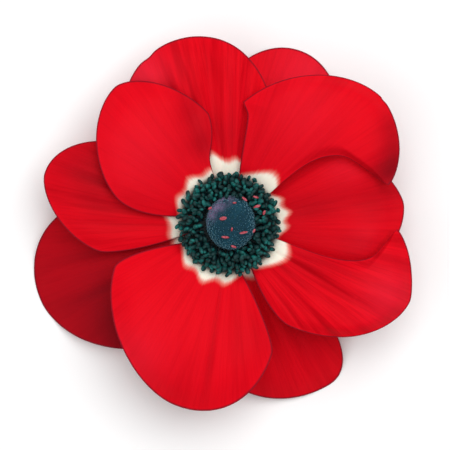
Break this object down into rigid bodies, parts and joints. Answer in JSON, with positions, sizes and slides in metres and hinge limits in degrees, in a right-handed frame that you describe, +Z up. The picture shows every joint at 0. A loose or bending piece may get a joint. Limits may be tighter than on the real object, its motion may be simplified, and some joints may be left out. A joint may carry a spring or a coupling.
{
  "type": "anemone flower",
  "caption": "Open red poppy anemone flower head with overlapping tepals, a white ring, dark stamens round a dark carpel dome and a short cut stalk, lying face up.",
  "frame": {"origin": "under the middle of the flower's outline, on the surface it rests on", "axes": "+Z up out of the flower's face, along its axis; +Y towards the top tepal, +X towards the right tepal"},
  "size_m": [0.0766, 0.0752, 0.0191],
  "materials": {
    "tepals": "satin",
    "stamens": "matte",
    "carpels": "matte",
    "stalk": "matte"
  },
  "bodies": {
    "root": {"stalk": "stalk", "carpel_head": "carpels", "stamens_inner": "stamens", "stamens_middle": "stamens", "stamens_outer": "stamens", "tepal_upper_left": "tepals", "tepal_upper_right": "tepals", "tepal_lower_right": "tepals", "tepal_bottom": "tepals", "tepal_top": "tepals", "tepal_right": "tepals", "tepal_left": "tepals", "tepal_back_top": "tepals", "tepal_back_right": "tepals", "tepal_back_left": "tepals"}
  },
  "joints": []
}
